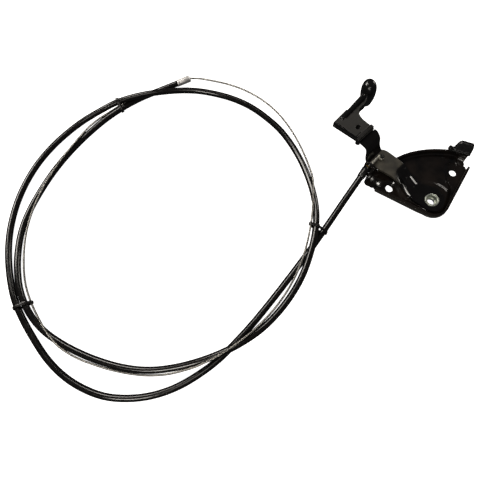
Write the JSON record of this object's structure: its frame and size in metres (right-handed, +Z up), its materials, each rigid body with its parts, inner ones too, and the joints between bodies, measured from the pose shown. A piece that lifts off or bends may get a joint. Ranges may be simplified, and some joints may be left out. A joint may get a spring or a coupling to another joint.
{
  "type": "hood release cable",
  "caption": "Stamped bracket with a cranked pull lever and moulded grip, pulling a wire in a coiled outer cable that ends in a bare wire.",
  "frame": {"origin": "on the left bolt pad's seating face, 8 mm from the bolt hole's axis towards -X, at the level that the bracket stands on", "axes": "+Z up, out of the bracket's open side and along the pivot axis; +X along the bracket, from its cable end to its bumper end; +Y from the pivot towards the rim"},
  "size_m": [0.4305, 0.3212, 0.036],
  "materials": {
    "plate_black": "gloss black electrocoat",
    "lever_black": "satin black electrocoat",
    "rivet_zinc": "zinc plated, satin",
    "grip_plastic": "grained black",
    "bumper_rubber": "smooth black",
    "conduit_plastic": "satin black extrusion",
    "boot_plastic": "smooth black",
    "fitting_dark": "smooth dark",
    "ring_brass": "plain",
    "wire_steel": "grey wire",
    "crimp_bright": "bright, pressed",
    "pin_dark": "dark",
    "ferrule_bright": "bright, crimped",
    "tie_nylon": "smooth black"
  },
  "bodies": {
    "bracket": {"base_plate": "plate_black", "pivot_rivet": "rivet_zinc", "stop_bumper": "bumper_rubber", "cable_conduit": "conduit_plastic", "conduit_boot": "boot_plastic", "end_fitting": "fitting_dark", "fitting_ring": "ring_brass", "wire_stub": "wire_steel", "end_ferrule": "ferrule_bright", "inner_wire": "wire_steel", "tie_right": "tie_nylon", "tie_left": "tie_nylon", "tie_top": "tie_nylon"},
    "lever": {"lever_arm": "lever_black", "pull_grip": "grip_plastic", "crimp_tube": "crimp_bright", "wire_pin": "pin_dark"}
  },
  "joints": [
    {"name": "lever_pivot", "type": "hinge", "parent": "bracket", "child": "lever", "pos_m": [0.0438, -0.0153, 0], "axis": [0, 0, -1], "range_deg": [0, 40], "deforming": ["wire_stub"]}
  ]
}
